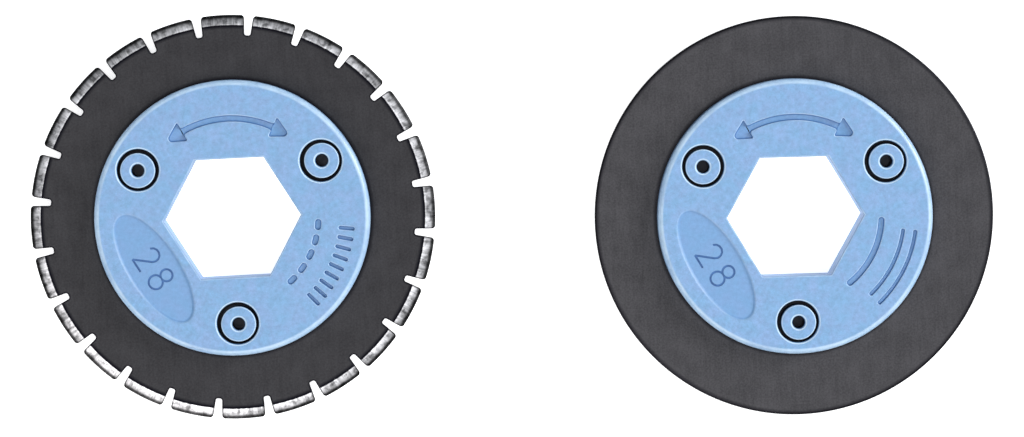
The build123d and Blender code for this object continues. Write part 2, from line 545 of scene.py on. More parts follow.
# %% The turning arrow
ARROW_RADIUS = 6.95
ARROW_ANGLE = 90
ARROW_HALF_ANGLE = 27
ARROW_STROKE = 0.42
ARROW_HEAD_WIDTH = 1.45
ARROW_HEAD_ANGLE = 9
ARROW_POINT_WIDTH = 0.30
ARROW_OUTER_ROUND = 0.12
ARROW_INNER_ROUND = 0.16


def turning_arrow():
    """A curved bar. Each end face is widened to the shoulders of a head, then drawn on to a point."""
    start, end = [ARROW_ANGLE + side * ARROW_HALF_ANGLE for side in (-1, 1)]
    arrow = curved_bar(ARROW_RADIUS, ARROW_STROKE, start, end)
    wider = ARROW_HEAD_WIDTH / ARROW_STROKE
    narrower = ARROW_POINT_WIDTH / ARROW_HEAD_WIDTH
    for side in (-1, 1):
        shoulder = ARROW_ANGLE + side * ARROW_HALF_ANGLE
        across = Vector(polar(1, shoulder + 90))
        found = select_parts(arrow, "FACE", lambda f: all(abs(v.co.xy.dot(across)) < NEAR for v in f.verts))
        foot = (*polar(ARROW_RADIUS, shoulder), 0)
        bpy.ops.mesh.extrude_region_move()
        bpy.ops.transform.resize(value=(wider, wider, 1), center_override=foot)
        bpy.ops.mesh.extrude_region_move()
        step = math.radians(side * ARROW_HEAD_ANGLE)
        bpy.ops.transform.rotate(value=-step, orient_axis="Z", center_override=(0, 0, 0))
        point = (*polar(ARROW_RADIUS, shoulder + side * ARROW_HEAD_ANGLE), 0)
        bpy.ops.transform.resize(value=(narrower, narrower, 1), center_override=point)
        leave_edit()
        print(f"arrow head from {found} face, {arrow.dimensions.x:.2f} mm wide so far")
    soften(arrow, lambda e: is_sharp(e) and is_upright(e) and e.is_convex, ARROW_OUTER_ROUND, 3)
    soften(arrow, lambda e: is_sharp(e) and is_upright(e) and not e.is_convex, ARROW_INNER_ROUND, 3)
    return arrow


combine(hub_front, turning_arrow())

# %% [markdown]
# ### The number in the tray
#
# The tray holds a plain number: the disc's diameter in whole millimetres. Its figures are thin
# strokes of one width, as a pantograph cuts them. The two is built from the same curved and straight
# bars, and the eight from two rings. They are laid out first, then turned to read along the tray.

# %% Diameter number
NUMBER_DEPTH = 0.08
NUMBER_STROKE = 0.15
NUMBER_FLOOR = TRAY_FLOOR - NUMBER_DEPTH
FIGURE_STEP = 0.85
TWO_BOWL = 0.48
TWO_BOWL_HEIGHT = 0.44
TWO_FOOT_HEIGHT = -0.90
EIGHT_BOWLS = ((0.42, 0.48), (0.49, -0.41))


def figure_two(middle_x):
    """A two: an arc, a slant and a foot."""
    bowl_start, bowl_end = 168, -38
    bowl_middle = (middle_x, TWO_BOWL_HEIGHT)
    slant_top = Vector(bowl_middle) + Vector(polar(TWO_BOWL, bowl_end))
    slant_foot = (middle_x - 0.50, TWO_FOOT_HEIGHT)
    foot_left = (middle_x - 0.52, TWO_FOOT_HEIGHT)
    foot_right = (middle_x + 0.52, TWO_FOOT_HEIGHT)
    figure = curved_bar(TWO_BOWL, NUMBER_STROKE, bowl_start, bowl_end, NUMBER_FLOOR, bowl_middle)
    for first, last in ((slant_top, slant_foot), (foot_left, foot_right)):
        combine(figure, straight_bar(first, last, NUMBER_STROKE, NUMBER_FLOOR), "UNION")
    return figure


def figure_eight(middle_x):
    """An eight: two rings that share a little of their width."""
    half_stroke = NUMBER_STROKE / 2
    figure, lower = [
        column("ring", bowl + half_stroke, NUMBER_FLOOR, ABOVE_HUB, 48, (middle_x, height))
        for bowl, height in EIGHT_BOWLS
    ]
    combine(figure, lower, "UNION")
    for bowl, height in EIGHT_BOWLS:
        inside = bowl - half_stroke
        drill(figure, inside, NUMBER_FLOOR - BEYOND, ABOVE_HUB + BEYOND, 48, (middle_x, height))
    return figure


number = gather([figure_two(-FIGURE_STEP), figure_eight(FIGURE_STEP)])
combine(hub_front, set_in_tray(number))
print("number cut:", len(hub_front.data.polygons), "faces")

# %% [markdown]
# ### Two front halves
#
# The two hubs differ only in the marks at the lower right, so the front half is copied before those
# are cut. The back halves are alike, so the back half is copied as it is.

# %% Line samples and edge signs
SAMPLE_ANGLE = -28
SAMPLE_RADIUS = 6.0
SAMPLE_HALF_ANGLE = 26
SAMPLE_STROKE = 0.4
DASH_COUNT = 5
DASH_SHARE = 0.68
SIGN_RADIUS = 8.0
SIGN_HALF_ANGLE = 20
SIGN_STROKE = 0.24
SIGN_HEIGHT = 1.1
TICK_COUNT = 9


def perforating_marks():
    """A broken line, and the slots of a perforating edge."""
    step = 2 * SAMPLE_HALF_ANGLE / DASH_COUNT
    tools = []
    for i in range(DASH_COUNT):
        start = SAMPLE_ANGLE - SAMPLE_HALF_ANGLE + (i + (1 - DASH_SHARE) / 2) * step
        dash = curved_bar(SAMPLE_RADIUS, SAMPLE_STROKE, start, start + DASH_SHARE * step)
        tools.append(round_ended(dash, SAMPLE_STROKE))
    for angle in spread(SIGN_HALF_ANGLE, TICK_COUNT):
        inner = polar(SIGN_RADIUS - SIGN_HEIGHT / 2, SAMPLE_ANGLE + angle)
        outer = polar(SIGN_RADIUS + SIGN_HEIGHT / 2, SAMPLE_ANGLE + angle)
        tools.append(round_ended(straight_bar(inner, outer, SIGN_STROKE), SIGN_STROKE))
    return gather(tools)


def creasing_marks():
    """An unbroken line, and the two sides of a plain edge."""
    half_gap = (SIGN_HEIGHT - SIGN_STROKE) / 2
    arcs = (
        (SAMPLE_RADIUS, SAMPLE_HALF_ANGLE, SAMPLE_STROKE),
        (SIGN_RADIUS - half_gap, SIGN_HALF_ANGLE, SIGN_STROKE),
        (SIGN_RADIUS + half_gap, SIGN_HALF_ANGLE, SIGN_STROKE),
    )
    tools = []
    for radius, half_angle, stroke in arcs:
        arc = curved_bar(radius, stroke, SAMPLE_ANGLE - half_angle, SAMPLE_ANGLE + half_angle)
        tools.append(round_ended(arc, stroke))
    return gather(tools)


def soften_marks(piece):
    """Rounds the lips and the floors of all the marks. The other lips are round already."""
    soften(piece, lambda e: is_sharp(e) and at_height(e, MARK_FLOOR), MARK_FLOOR_ROUND, 2)
    soften(piece, lambda e: is_sharp(e) and at_height(e, HUB_TOP), MARK_LIP_ROUND, 3)


perforating_front = own_copy(hub_front, "perforating_hub_front_face")
combine(perforating_front, perforating_marks())
soften_marks(perforating_front)
creasing_front = own_copy(hub_front, "creasing_hub_front_face")
combine(creasing_front, creasing_marks())
soften_marks(creasing_front)
bpy.data.objects.remove(hub_front)

perforating_back = own_copy(hub_back, "perforating_hub_back_half")
creasing_back = own_copy(hub_back, "creasing_hub_back_half")
bpy.data.objects.remove(hub_back)

# %% [markdown]
# ## The creasing disc
#
# The creasing disc is stamped from strip steel, and its rim is rounded so that it presses a line without
# cutting. A flat cylinder with both of its outer edges rounded has that shape. The hole for the
# spigot and three for the pegs are cut with a small gap, because steel and plastic never fit
# exactly.

# %% Creasing disc
def bore_disc(piece):
    """Opens a disc for the spigot and for the pegs."""
    bottom, top = DISC_BOTTOM - BEYOND, DISC_TOP + BEYOND
    drill(piece, SPIGOT_RADIUS + RUNNING_GAP, bottom, top, corners=192)
    for angle in PEG_ANGLES:
        drill(piece, PEG_RADIUS + RUNNING_GAP, bottom, top, place=polar(PEG_CIRCLE_RADIUS, angle))


RIM_ROUND = 0.17
creasing_disc = column("creasing_steel_disc", DISC_RADIUS, DISC_BOTTOM, DISC_TOP, DISC_CORNERS)
soften(creasing_disc, lambda e: at_height(e, DISC_BOTTOM) or at_height(e, DISC_TOP), RIM_ROUND, 5)
bore_disc(creasing_disc)

# %% [markdown]
# ## The perforating disc
#
# This disc is ground on both faces to a thin edge in three steps: a shallow facet, a steeper one and
# a honed edge. The blank starts as thin as that edge, and each facet is one extrude of its flat face,
# moved outwards and scaled in. Then 24 slots break the edge into teeth. The slot is modelled once, as
# the punch that would cut it: a blunt nose with rounded corners, sides that open outwards, and a
# flare that rounds the corners of the teeth. Spin copies it round the disc.

# %% Ground blank
EDGE_HALF_THICKNESS = 0.01
HONE_HALF_THICKNESS = 0.074
SECOND_FACET_WIDTH = 0.50
SECOND_FACET_RADIUS = TOOTH_RADIUS - SECOND_FACET_WIDTH
SECOND_FACET_HALF_THICKNESS = 0.163
FACETS = (
    (HONE_RADIUS, HONE_HALF_THICKNESS),
    (SECOND_FACET_RADIUS, SECOND_FACET_HALF_THICKNESS),
    (BAND_RADIUS, DISC_TOP - DISC_MIDDLE),
)


def grind(piece, side):
    """Builds the facets of one face, from the edge to the flat."""
    radius = TOOTH_RADIUS
    height = EDGE_HALF_THICKNESS
    select_parts(piece, "FACE", lambda f: at_height(f, DISC_MIDDLE + side * height))
    for next_radius, next_height in FACETS:
        rise = side * (next_height - height)
        bpy.ops.mesh.extrude_region_move(TRANSFORM_OT_translate={"value": (0, 0, rise)})
        ratio = next_radius / radius
        bpy.ops.transform.resize(value=(ratio, ratio, 1), center_override=(0, 0, 0))
        radius, height = next_radius, next_height
    leave_edit()


perforating_disc = column(
    "perforating_steel_disc",
    TOOTH_RADIUS,
    DISC_MIDDLE - EDGE_HALF_THICKNESS,
    DISC_MIDDLE + EDGE_HALF_THICKNESS,
    DISC_CORNERS,
)
for disc_side in (-1, 1):
    grind(perforating_disc, disc_side)
bore_disc(perforating_disc)

# %% Slot punch
FLARE_STEP = 18


def slot_punch():
    """The punch for one slot, pointing at the bore."""
    flare_start = TOOTH_RADIUS - TOOTH_ROUND
    bpy.ops.object.select_all(action="DESELECT")
    bpy.ops.mesh.primitive_cube_add(
        size=1,
        location=((SLOT_ROOT_RADIUS + flare_start) / 2, 0, DISC_MIDDLE),
        scale=(flare_start - SLOT_ROOT_RADIUS, SLOT_ROOT_WIDTH, DISC_TOP - DISC_BOTTOM + 2 * BEYOND),
    )
    bpy.ops.object.transform_apply(location=True, rotation=True, scale=True)
    punch = bpy.context.object
    punch.name = "slot_punch"

    def all_at(part, distance):
        return all(abs(vertex.co.x - distance) < NEAR for vertex in part.verts)

    soften(punch, lambda e: is_upright(e) and all_at(e, SLOT_ROOT_RADIUS), SLOT_CORNER_ROUND, 5)
    select_parts(punch, "FACE", lambda f: all_at(f, flare_start))
    width = SLOT_MOUTH_WIDTH
    bpy.ops.transform.resize(value=(1, width / SLOT_ROOT_WIDTH, 1), center_override=(0, 0, 0))
    reach = flare_start
    for angle in range(FLARE_STEP, 90 + FLARE_STEP, FLARE_STEP):
        next_reach = flare_start + TOOTH_ROUND * math.sin(math.radians(angle))
        next_width = SLOT_MOUTH_WIDTH + 2 * TOOTH_ROUND * (1 - math.cos(math.radians(angle)))
        bpy.ops.mesh.extrude_region_move(TRANSFORM_OT_translate={"value": (next_reach - reach, 0, 0)})
        bpy.ops.transform.resize(value=(1, next_width / width, 1), center_override=(0, 0, 0))
        reach, width = next_reach, next_width
    bpy.ops.mesh.extrude_region_move(TRANSFORM_OT_translate={"value": (BEYOND, 0, 0)})
    leave_edit()
    return punch


punches = slot_punch()
pick(punches)
bpy.ops.object.mode_set(mode="EDIT")
bpy.ops.mesh.select_all(action="SELECT")
pitch = 2 * math.pi / TOOTH_COUNT
bpy.ops.transform.rotate(value=pitch / 2, orient_axis="Z", center_override=(0, 0, 0))
bpy.ops.mesh.spin(
    steps=TOOTH_COUNT - 1,
    dupli=True,
    angle=pitch * (TOOTH_COUNT - 1),
    center=(0, 0, 0),
    axis=(0, 0, 1),
)
leave_edit()
combine(perforating_disc, punches)
print("toothed disc:", len(perforating_disc.data.polygons), "faces")

# %% [markdown]
# ## Finishes
#
# A finish is a small tree of nodes. A few helpers keep the trees short: one adds a node and fills its
# sockets, one makes grain of a given size in millimetres, one stretches a range, and some do sums on
# whole patterns. All patterns read Object coordinates, so their size is true. A mapping node moves
# them to the wheel's own bore, which is where the grinding marks and the rolling streaks start from.

# %% Node helpers
def add_node(material, kind, sockets, **settings):
    """Adds a shader node. A socket gets a number, a colour or another node's output."""
    node = material.node_tree.nodes.new("ShaderNode" + kind)
    for name, value in settings.items():
        setattr(node, name, value)
    for name, value in sockets.items():
        if isinstance(value, bpy.types.NodeSocket):
            material.node_tree.links.new(value, node.inputs[name])
        else:
            node.inputs[name].default_value = value
    return node


def wheel_coordinates(material, place, turn):
    """Object coordinates in metres, counted from a wheel's bore and turned with it."""
    source = add_node(material, "TexCoord", {})
    sockets = {
        "Vector": source.outputs["Object"],
        "Location": (place[0] * MM, place[1] * MM, 0),
        "Rotation": (0, 0, math.radians(turn)),
    }
    return add_node(material, "Mapping", sockets, vector_type="TEXTURE").outputs["Vector"]


def stretched(material, vector, scale):
    """The same coordinates, squeezed or stretched along each axis."""
    return add_node(material, "Mapping", {"Vector": vector, "Scale": scale}).outputs["Vector"]


def grain(material, vector, size, detail=3.0, roughness=0.55):
    """Soft noise from 0 to 1 with lumps of about that size in millimetres."""
    sockets = {"Vector": vector, "Scale": 1 / (size * MM), "Detail": detail, "Roughness": roughness}
    return add_node(material, "TexNoise", sockets).outputs["Fac"]


def ramp(material, value, low, high, new_low=0.0, new_high=1.0):
    """Turns the range low to high into another range, and holds it at both ends."""
    sockets = {"Value": value, "From Min": low, "From Max": high, "To Min": new_low, "To Max": new_high}
    return add_node(material, "MapRange", sockets).outputs["Result"]


def calculate(material, operation, first, second=0.0):
    """One sum on two numbers or patterns."""
    return add_node(material, "Math", {0: first, 1: second}, operation=operation).outputs[0]


def one_by_one(material, operation, values):
    """The same sum on several patterns, one after another."""
    result = values[0]
    for value in values[1:]:
        result = calculate(material, operation, result, value)
    return result


def plus(material, *values):
    """Several patterns added up."""
    return one_by_one(material, "ADD", values)


def minus(material, first, second):
    """One pattern less another."""
    return calculate(material, "SUBTRACT", first, second)


def multiply(material, *values):
    """The product of several patterns."""
    return one_by_one(material, "MULTIPLY", values)


def highest(material, *values):
    """The strongest of several patterns."""
    return one_by_one(material, "MAXIMUM", values)


def between(material, value, low, high, fade):
    """One inside a range and nothing outside it, with soft ends."""
    rise = ramp(material, value, low - fade, low)
    fall = ramp(material, value, high, high + fade, 1.0, 0.0)
    return multiply(material, rise, fall)


def diagonal(material, first, second):
    """The straight distance that two steps at right angles make."""
    squares = plus(material, multiply(material, first, first), multiply(material, second, second))
    return calculate(material, "SQRT", squares)


def mixed(material, factor, first, second, blend="MIX"):
    """Mixes two colours."""
    first, second = [(*value, 1) if isinstance(value, tuple) else value for value in (first, second)]
    sockets = {0: factor, 6: first, 7: second}
    return add_node(material, "Mix", sockets, data_type="RGBA", blend_type=blend).outputs[2]


def tinted(material, level, red=1.0, green=1.0, blue=1.0):
    """A grey of that level, or a grey with a slight tint."""
    shares = {"Red": red, "Green": green, "Blue": blue}
    sockets = {}
    for name, share in shares.items():
        sockets[name] = level if share == 1.0 else multiply(material, level, share)
    return add_node(material, "CombineColor", sockets).outputs["Color"]


def length_of(material, vector):
    """How long a vector is at each point."""
    return add_node(material, "VectorMath", {0: vector}, operation="LENGTH").outputs["Value"]


def distance_from_bore(material, vector):
    """The coordinates without their height, and the distance from the bore's axis in millimetres."""
    flat = add_node(material, "VectorMath", {0: vector, 1: (1, 1, 0)}, operation="MULTIPLY").outputs[0]
    return flat, calculate(material, "DIVIDE", length_of(material, flat), MM)


def aside_from_repeat(material, flat, radius, count, start):
    """How far each point is to one side of the nearest of several places round the bore."""
    parts = add_node(material, "SeparateXYZ", {"Vector": flat}).outputs
    angle = calculate(material, "ARCTAN2", parts["Y"], parts["X"])
    share = plus(material, multiply(material, angle, count / (2 * math.pi)), start)
    share = calculate(material, "FRACT", share)
    return multiply(material, minus(material, share, 0.5), radius, 2 * math.pi / count)


def bump(material, height, distance, under=None):
    """Turns a height from 0 to 1 into relief of that many millimetres."""
    sockets = {"Height": height, "Distance": distance * MM, "Strength": 1.0}
    if under is not None:
        sockets["Normal"] = under
    return add_node(material, "Bump", sockets).outputs["Normal"]


def new_finish(name):
    """An empty material, and its main shader."""
    material = bpy.data.materials.new(name)
    material.use_nodes = True
    return material, material.node_tree.nodes["Principled BSDF"]


def connect(material, shader, **outputs):
    """Links patterns to the main shader's sockets."""
    names = {"colour": "Base Color", "roughness": "Roughness", "metallic": "Metallic", "normal": "Normal"}
    for name, socket in outputs.items():
        material.node_tree.links.new(socket, shader.inputs[names[name]])
    print(f"{material.name}: {len(material.node_tree.nodes)} nodes")


# %% [markdown]
# ### Blue moulded plastic
#
# The hub is a hard blue plastic from a mould with a fine matt texture. Up close its colour drifts a
# little between lilac and sky blue, the surface has a fine grain, and handling leaves a few light
# hairlines. Three sizes of noise give the drift, the mottle and the grain. The hairlines are
# noise pulled out along one direction and cut down to its thinnest crests.
#
# Depth below the face does the rest, and here colour stands in for light. Lips just below the face and
# the hub's rounded rim get a painted highlight of paler blue, strongest round the peg holes. The tray's
# floor gets painted shade of a deeper blue. The walls and floors of the sunk marks get painted shade of
# dark blue, and the deep holes round the pegs, which see hardly any light, are painted near-black as shade.

# %% Blue plastic
LILAC_BLUE = (0.213, 0.350, 0.588)
SKY_BLUE = (0.183, 0.354, 0.580)
# The next four colours are painted light: a highlight on lips and rim, and shade in the tray, the marks and
# the deep holes.
HIGHLIGHT_BLUE = (0.520, 0.680, 0.830)
TRAY_SHADE_BLUE = (0.130, 0.285, 0.540)
MARK_SHADE_BLUE = (0.034, 0.130, 0.360)
HOLE_SHADE_BLUE = (0.012, 0.018, 0.045)
PLASTIC_IOR = 1.49
PLASTIC_SPECULAR = 0.38

LIP_DEPTHS = (0.012, 0.060)
TRAY_DEPTHS = (0.10, 0.30)
RIM_DEPTHS = (0.36, 0.42)
MARK_WALL_DEPTHS = (0.075, MARK_DEPTH - 0.008)
MARK_FLOOR_DEPTHS = (MARK_DEPTH - 0.008, MARK_DEPTH + 0.010)
FIGURE_DEPTHS = (TRAY_DEPTH + 0.015, 0.30)
HOLE_DEPTH = 0.45
PEG_HIGHLIGHT_REACH = (1.75, 1.90)
PEG_HOLES_ZONE = (5.9, 8.8)
LEAST_HIGHLIGHT = 0.25
MOST_HIGHLIGHT = 0.70


def hairlines(material, vector, turn, size, rarity):
    """Thin scratches in one direction. A higher rarity leaves fewer."""
    sockets = {"Vector": vector, "Rotation": (0, 0, math.radians(turn))}
    turned = add_node(material, "Mapping", sockets).outputs["Vector"]
    lines = grain(material, stretched(material, turned, (1.0, 0.02, 1.0)), size, detail=1.0)
    return ramp(material, lines, rarity, rarity + 0.03)


def near_pegs(material, flat, radius):
    """One within reach of the three pegs."""
    first_peg = PEG_ANGLES[0] * len(PEG_ANGLES) / 360
    aside = aside_from_repeat(material, flat, radius, len(PEG_ANGLES), 0.5 - first_peg)
    outward = minus(material, radius, PEG_CIRCLE_RADIUS)
    return ramp(material, diagonal(material, aside, outward), *PEG_HIGHLIGHT_REACH, 1.0, 0.0)


def in_tray(material, flat):
    """One inside the oval tray."""
    place = polar(TRAY_RADIUS * MM, TRAY_ANGLE)
    sockets = {
        "Vector": flat,
        "Location": (*place, 0),
        "Rotation": (0, 0, math.radians(TRAY_ANGLE + 90)),
        "Scale": (TRAY_LENGTH * MM / 2, TRAY_WIDTH * MM / 2, 1),
    }
    own = add_node(material, "Mapping", sockets, vector_type="TEXTURE").outputs["Vector"]
    return ramp(material, length_of(material, own), 1.02, 1.05, 1.0, 0.0)


def plastic_tone(material, vector, mottle, fine, scuff):
    """Blue that drifts between two tints, and is broken up by a mottle, a grain and hairlines."""
    drift = ramp(material, grain(material, vector, 0.9), 0.35, 0.65)
    coarse_shade = ramp(material, mottle, 0.25, 0.75, 0.87, 1.13)
    fine_shade = ramp(material, fine, 0.2, 0.8, 0.92, 1.08)
    shade = plus(material, multiply(material, coarse_shade, fine_shade), multiply(material, scuff, 0.07))
    blue = mixed(material, drift, LILAC_BLUE, SKY_BLUE)
    return mixed(material, 1.0, blue, tinted(material, shade), blend="MULTIPLY")


def shade_in_marks(material, depth, radius, tray, pegs):
    """How much painted shade the sunk marks and the figures get: most on their walls, less on their floors.
    """
    wall = between(material, depth, *MARK_WALL_DEPTHS, 0.010)
    bottom = multiply(material, between(material, depth, *MARK_FLOOR_DEPTHS, 0.005), 0.40)
    on_face = ramp(material, radius, HUB_RADIUS - 0.55, HUB_RADIUS - 0.50, 1.0, 0.0)
    beyond_tray = minus(material, 1.0, tray)
    beyond_pegs = minus(material, 1.0, pegs)
    marks = multiply(material, highest(material, wall, bottom), beyond_tray, on_face, beyond_pegs)
    figures = multiply(material, between(material, depth, *FIGURE_DEPTHS, 0.010), tray)
    return multiply(material, highest(material, marks, figures), 0.85)


def blue_plastic(name, place, turn, face):
    """Matt moulded plastic. The face is the height of its upper flat in millimetres."""
    material, shader = new_finish(name)
    vector = wheel_coordinates(material, place, turn)
    flat, radius = distance_from_bore(material, vector)
    height = add_node(material, "SeparateXYZ", {"Vector": vector}).outputs["Z"]
    depth = minus(material, face, calculate(material, "DIVIDE", height, MM))
    mottle = grain(material, vector, 0.26)
    fine = grain(material, vector, 0.09, detail=2.0)
    one_way = hairlines(material, vector, 35, 0.10, 0.71)
    other_way = hairlines(material, vector, -62, 0.08, 0.72)
    scuff = highest(material, one_way, other_way)
    colour = plastic_tone(material, vector, mottle, fine, scuff)

    tray = in_tray(material, flat)
    pegs = near_pegs(material, flat, radius)
    # Painted highlight: lips get a paler blue in patches of random strength, full strength round the peg
    # holes and weaker in the tray.
    highlight_strength = ramp(material, grain(material, vector, 1.6, detail=2.0), 0.35, 0.65, LEAST_HIGHLIGHT, MOST_HIGHLIGHT)
    highlight_share = highest(material, pegs, highlight_strength)
    weaker_highlight_in_tray = ramp(material, tray, 0.0, 1.0, 1.0, 0.25)
    lip = multiply(material, between(material, depth, *LIP_DEPTHS, 0.010), highlight_share, weaker_highlight_in_tray)
    colour = mixed(material, lip, colour, HIGHLIGHT_BLUE)
    # Painted shade: the tray's floor is a deeper blue.
    tray_floor_shade = multiply(material, tray, between(material, depth, *TRAY_DEPTHS, 0.06), 0.50)
    colour = mixed(material, tray_floor_shade, colour, TRAY_SHADE_BLUE)
    # Painted highlight on the hub's rounded rim, in the same paler blue.
    rim = ramp(material, radius, HUB_RADIUS - 0.42, HUB_RADIUS - 0.20)
    rim = multiply(material, rim, ramp(material, depth, *RIM_DEPTHS, 1.0, 0.0))
    rim_highlight = multiply(material, rim, ramp(material, highlight_strength, LEAST_HIGHLIGHT, MOST_HIGHLIGHT, 0.35, 0.65))
    colour = mixed(material, rim_highlight, colour, HIGHLIGHT_BLUE)
    # Painted shade in the sunk marks and the figures.
    colour = mixed(material, shade_in_marks(material, depth, radius, tray, pegs), colour, MARK_SHADE_BLUE)
    # Painted shade: the deep holes round the pegs are near-black.
    hole = between(material, depth, HOLE_DEPTH, face - PEG_CORE_FLOOR + 0.01, 0.10)
    hole = multiply(material, hole, between(material, radius, *PEG_HOLES_ZONE, 0.05))
    colour = mixed(material, hole, colour, HOLE_SHADE_BLUE)

    roughness = plus(material, ramp(material, mottle, 0.3, 0.7, 0.36, 0.46), multiply(material, scuff, 0.12))
    roughness = minus(material, roughness, multiply(material, lip, 0.08))
    roughness = minus(material, roughness, multiply(material, rim, 0.12))
    relief = bump(material, fine, 0.006)
    relief = bump(material, mottle, 0.012, relief)
    connect(material, shader, colour=colour, roughness=roughness, normal=relief)
    shader.inputs["IOR"].default_value = PLASTIC_IOR
    shader.inputs["Specular IOR Level"].default_value = PLASTIC_SPECULAR
    return material


# %% [markdown]
# ### Dark coated steel
#
# The discs are strip steel with a thin dark coating. Rolling leaves fine streaks that all run one
# way across the whole disc, and the coating dries in faint clouds and fine specks. The streaks are
# one noise squeezed to threads. The three patterns are added up, and together they tint the coat and
# roughen it. The threads and the specks also lift it by less than a hundredth of a millimetre.

# %% Coat
COAT_DARK = (0.017, 0.016, 0.019)
COAT_LIGHT = (0.032, 0.031, 0.035)
PLAIN_DARK = (0.033, 0.032, 0.036)
PLAIN_LIGHT = (0.058, 0.056, 0.062)
# Near-black for painted shade and painted dark reflection, and for the dark ring beside the ground band.
DARK_LINE_AND_SHADE = (0.006, 0.006, 0.009)
COAT_METALLIC = 0.3
COAT_SPECULAR = 0.3
CLOUD_SHARE = 0.32
THREAD_SHARE = 0.20
SPECK_SHARE = 0.48


def coat_patterns(material, vector, dark, light):
    """Colour, roughness and relief of the dark coating."""
    clouds = grain(material, vector, 1.6, detail=5.0)
    threads = grain(material, stretched(material, vector, (1.0, 0.08, 1.0)), 0.20, detail=4.0)
    specks = grain(material, vector, 0.13)
    level = plus(
        material,
        multiply(material, clouds, CLOUD_SHARE),
        multiply(material, threads, THREAD_SHARE),
        multiply(material, specks, SPECK_SHARE),
    )
    level = ramp(material, level, 0.38, 0.62)
    colour = mixed(material, level, dark, light)
    roughness = ramp(material, level, 0.0, 1.0, 0.52, 0.44)
    relief = bump(material, threads, 0.004)
    relief = bump(material, specks, 0.003, relief)
    return colour, roughness, relief


def painted_shade_beside_hub(material, radius):
    """Painted shade: a dark line on a disc where it goes in under the hub."""
    start = HUB_RADIUS + 0.12
    return ramp(material, radius, start, start + 0.2, 0.7, 0.0)


def plain_coat(name, place, turn):
    """The coating alone, as on the creasing disc. It has a painted dark reflection where it runs round the
    rim, and painted shade beside the hub.
    """
    material, shader = new_finish(name)
    vector = wheel_coordinates(material, place, turn)
    colour, roughness, relief = coat_patterns(material, vector, PLAIN_DARK, PLAIN_LIGHT)
    radius = distance_from_bore(material, vector)[1]
    # Painted dark reflection round the rim and painted shade beside the hub, near-black and without sheen.
    rim_and_hub_shade = ramp(material, radius, DISC_RADIUS - 0.36, DISC_RADIUS - 0.10, 0.0, 0.9)
    rim_and_hub_shade = highest(material, rim_and_hub_shade, painted_shade_beside_hub(material, radius))
    colour = mixed(material, rim_and_hub_shade, colour, DARK_LINE_AND_SHADE)
    metallic = ramp(material, rim_and_hub_shade, 0.0, 1.0, COAT_METALLIC, 1.0)
    connect(material, shader, colour=colour, roughness=roughness, metallic=metallic, normal=relief)
    shader.inputs["Specular IOR Level"].default_value = COAT_SPECULAR
    return material


# %% [markdown]
# ### Ground edge
#
# Grinding takes the coating off and leaves bright steel with marks that run out from the bore. To get
# marks that follow the disc all round with no seam, each point is first moved to a circle and
# keeps only a little of its own distance. Noise on that circle becomes short radial
# strokes. The steel is brightest beside the coating and is painted darker towards the honed edge,
# as a painted dark reflection. The coating is darker in a narrow ring beside the ground band. A dark
# line of painted shade runs round each slot, and for that a few sums give the distance from the
# nearest slot.

# %% Ground and coated steel
STROKE_KEPT = 0.12
STROKE_SHARE = 0.45
BLOTCH_SHARE = 0.25
PATCH_SHARE = 0.30
GROUND_LINE_WANDER = 0.015


def distance_from_slot(material, flat, radius):
    """How far each point is from the nearest slot's outline, in millimetres."""
    aside = aside_from_repeat(material, flat, radius, TOOTH_COUNT, 0.0)
    nose_place = SLOT_ROOT_RADIUS + SLOT_ROOT_WIDTH / 2
    flare_start = TOOTH_RADIUS - TOOTH_ROUND
    behind_nose = calculate(material, "MINIMUM", minus(material, radius, nose_place), 0.0)
    half_width = ramp(material, radius, nose_place, flare_start, SLOT_ROOT_WIDTH / 2, SLOT_MOUTH_WIDTH / 2)
    flare = ramp(material, radius, flare_start, TOOTH_RADIUS)
    flare = multiply(material, calculate(material, "POWER", flare, 2.5), TOOTH_ROUND)
    from_middle = diagonal(material, aside, behind_nose)
    return minus(material, from_middle, plus(material, half_width, flare))


def ground_patterns(material, flat, radius):
    """Brightness, roughness and strokes of the ground band."""
    kept = plus(material, multiply(material, radius, STROKE_KEPT), TOOTH_RADIUS * (1 - STROKE_KEPT))
    outwards = add_node(material, "VectorMath", {0: flat}, operation="NORMALIZE").outputs[0]
    sockets = {0: outwards, "Scale": multiply(material, kept, MM)}
    circle = add_node(material, "VectorMath", sockets, operation="SCALE").outputs[0]
    strokes = grain(material, circle, 0.24, detail=5.0, roughness=0.65)
    blotches = grain(material, flat, 0.50, detail=4.0, roughness=0.6)
    patches = grain(material, circle, 2.6, detail=2.0)
    level = plus(
        material,
        multiply(material, strokes, STROKE_SHARE),
        multiply(material, blotches, BLOTCH_SHARE),
        multiply(material, patches, PATCH_SHARE),
    )
    across = ramp(material, radius, BAND_RADIUS, HONE_RADIUS)
    # Painted dark reflection: the ground steel darkens towards the edge.
    painted_darker_outwards = ramp(material, across, 0.10, 1.0, 1.0, 0.44)
    mottled = ramp(material, blotches, 0.38, 0.52, 0.50, 1.0)
    mottled = highest(material, mottled, ramp(material, across, 0.10, 0.30, 1.0, 0.0))
    # Painted dark reflection on the honed facet.
    honed = ramp(material, radius, HONE_RADIUS - 0.14, HONE_RADIUS, 1.0, 0.13)
    steel = ramp(material, level, 0.40, 0.60, 0.26, 1.0)
    steel = multiply(material, steel, painted_darker_outwards, mottled, honed)
    roughness = ramp(material, blotches, 0.3, 0.7, 0.32, 0.46)
    return steel, roughness, strokes


